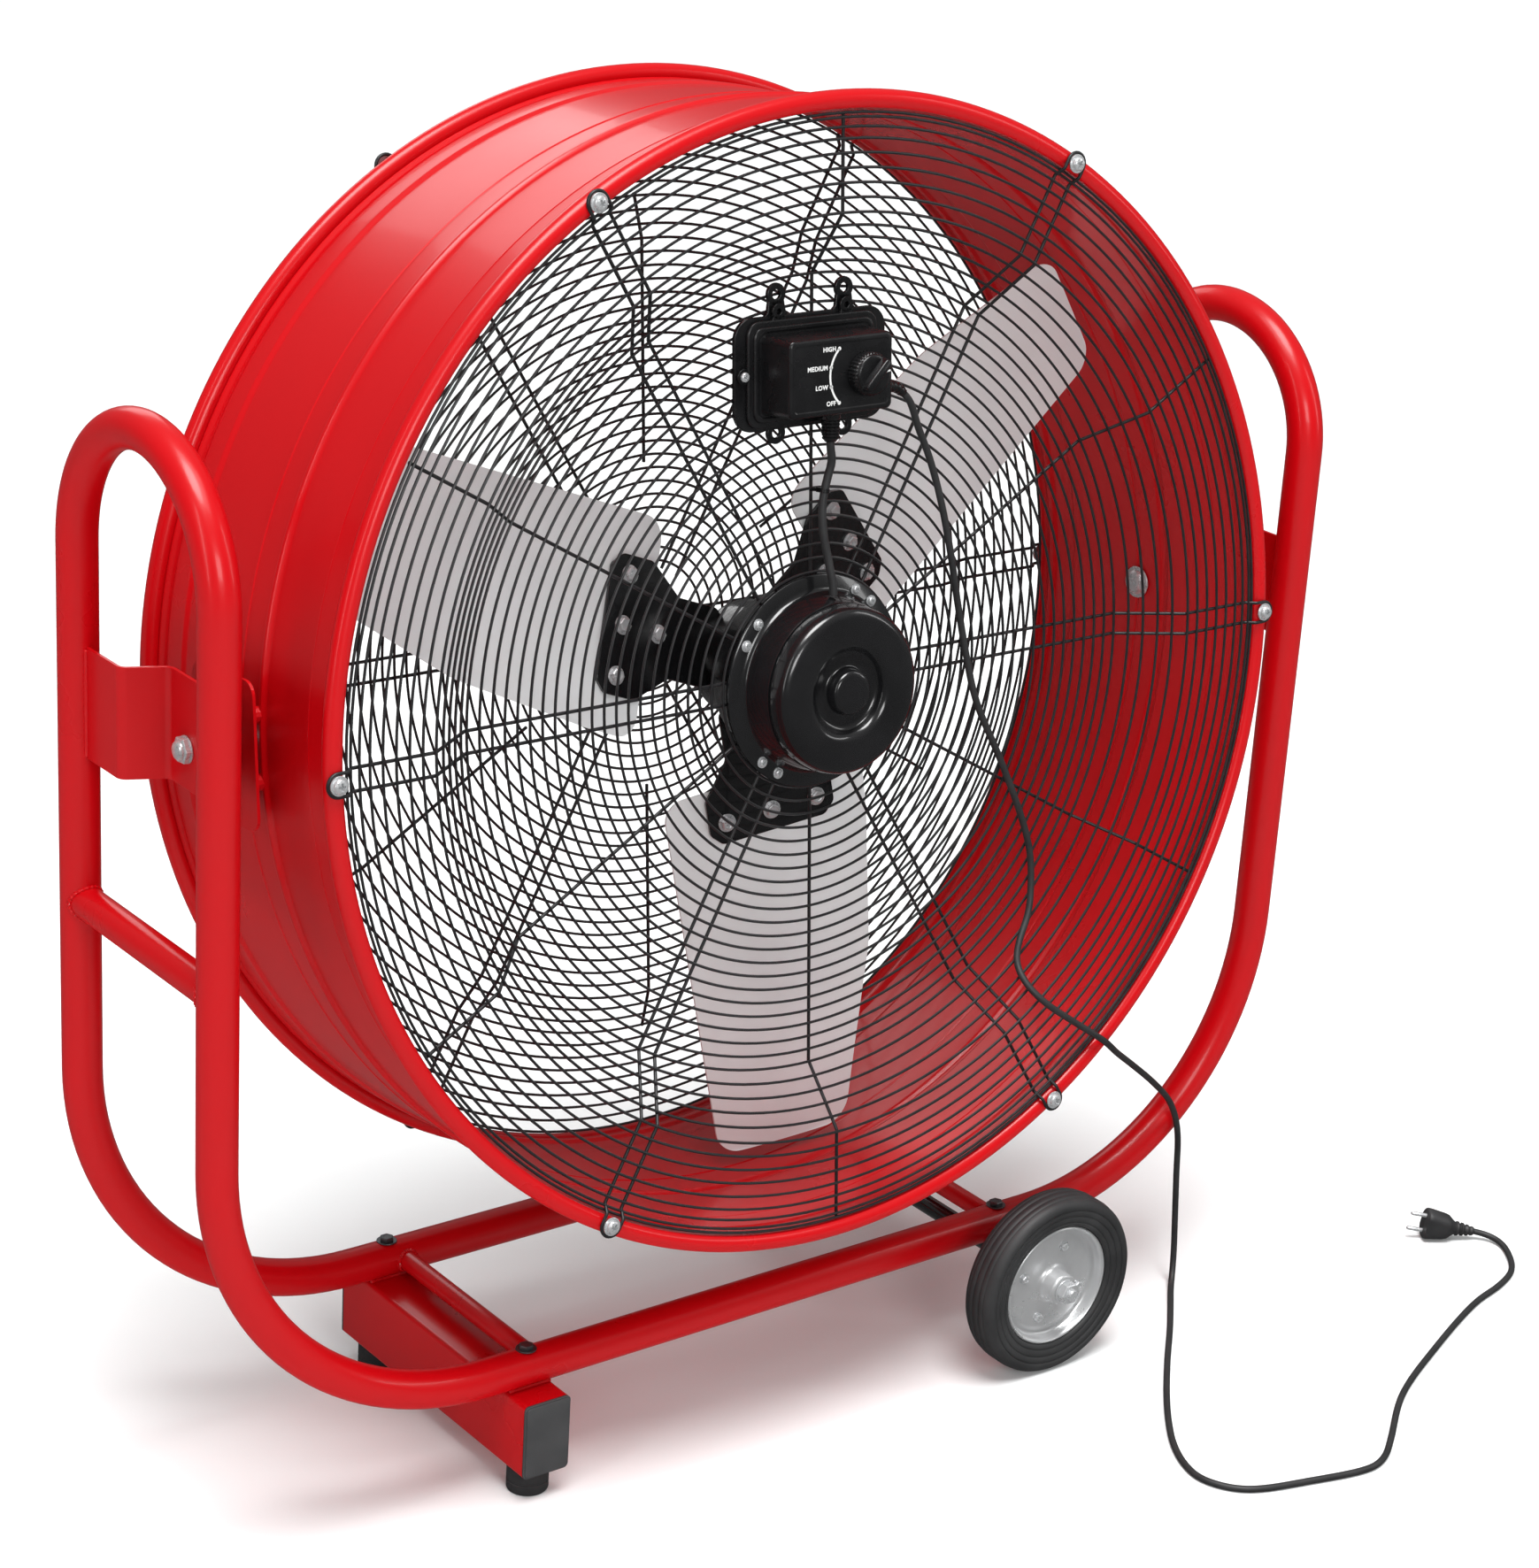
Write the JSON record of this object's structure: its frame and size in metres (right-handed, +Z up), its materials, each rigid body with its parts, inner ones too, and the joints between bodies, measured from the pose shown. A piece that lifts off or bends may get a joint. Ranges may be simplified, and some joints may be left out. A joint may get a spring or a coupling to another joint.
{
  "type": "drum fan",
  "caption": "Large drum fan: motor and blades in a tilting round drum with wire guards, hung in a tubular frame with wheels, handles and a mains cord.",
  "frame": {"origin": "on the floor, under the middle of the frame without the cord", "axes": "+Z up; -Y is the control side; +X is the wheel side"},
  "size_m": [1.6009, 0.8378, 1.3497],
  "materials": {
    "frame_paint": "glossy red paint",
    "drum_paint": "glossy red paint",
    "black_paint": "semi-gloss black paint",
    "guard_wire": "dark coated wire",
    "black_plastic": "fine-grained black",
    "foot_rubber": "matte black",
    "tyre": "matte black, solid",
    "rim_zinc": "zinc-plated pressed steel",
    "zinc": "zinc-plated",
    "blade_sheet": "light grey sheet, satin",
    "cord_rubber": "matte black jacket"
  },
  "bodies": {
    "frame": {"front_loop": "frame_paint", "rear_loop": "frame_paint", "left_handle": "frame_paint", "right_handle": "frame_paint", "left_crossbar": "frame_paint", "foot_cross_tube": "frame_paint", "wheel_cross_tube": "frame_paint", "foot_beam": "frame_paint", "beam_cap_front": "black_plastic", "beam_cap_rear": "black_plastic", "rubber_foot_front": "foot_rubber", "rubber_foot_rear": "foot_rubber", "axle": "black_paint", "foot_bolt_front": "zinc", "foot_bolt_rear": "zinc", "wheel_bolt_front": "zinc", "wheel_bolt_rear": "zinc", "left_pivot_bracket": "frame_paint", "right_pivot_bracket": "frame_paint", "left_pivot_spacer": "black_plastic", "right_pivot_spacer": "black_plastic", "front_axle_nut": "zinc", "rear_axle_nut": "zinc", "power_cord": "cord_rubber", "power_plug": "cord_rubber"},
    "drum": {"drum_shell": "drum_paint", "front_guard": "guard_wire", "rear_guard": "guard_wire", "left_drum_plate": "drum_paint", "right_drum_plate": "drum_paint", "left_pivot_bolt": "zinc", "right_pivot_bolt": "zinc", "left_pivot_nut": "zinc", "right_pivot_nut": "zinc", "motor_housing": "black_paint", "motor_end_cap": "black_paint", "control_box_base": "black_plastic", "control_box_cover": "black_plastic", "cable_gland": "black_plastic", "cord_strain_relief": "black_plastic", "motor_cable": "cord_rubber", "guard_screw_1": "zinc", "guard_screw_2": "zinc", "guard_screw_3": "zinc", "guard_screw_4": "zinc", "guard_screw_5": "zinc", "guard_screw_6": "zinc"},
    "rotor": {"rotor_hub": "black_paint", "motor_shaft": "zinc", "blade_1": "blade_sheet", "blade_2": "blade_sheet", "blade_3": "blade_sheet", "blade_arm_1": "black_paint", "blade_arm_2": "black_paint", "blade_arm_3": "black_paint"},
    "knob": {"speed_knob": "black_plastic"},
    "wheel_front": {"front_tyre": "tyre", "front_rim": "rim_zinc"},
    "wheel_rear": {"rear_tyre": "tyre", "rear_rim": "rim_zinc"}
  },
  "joints": [
    {"name": "drum_tilt", "type": "hinge", "parent": "frame", "child": "drum", "pos_m": [0, 0, 0.776], "axis": [1, 0, 0], "range_deg": [-25, 20], "deforming": ["power_cord"]},
    {"name": "rotor_spin", "type": "hinge", "parent": "drum", "child": "rotor", "pos_m": [0, 0, 0.776], "axis": [0, 0.9954, -0.0958], "continuous": true},
    {"name": "knob_turn", "type": "hinge", "parent": "drum", "child": "knob", "pos_m": [0.02, -0.15396, 1.09322], "axis": [0, 0.9954, -0.0958], "range_deg": [0, 89]},
    {"name": "front_wheel_spin", "type": "hinge", "parent": "frame", "child": "wheel_front", "pos_m": [0.298, -0.221, 0.1], "axis": [0, 1, 0], "continuous": true},
    {"name": "rear_wheel_spin", "type": "hinge", "parent": "frame", "child": "wheel_rear", "pos_m": [0.298, 0.221, 0.1], "axis": [0, 1, 0], "continuous": true}
  ]
}
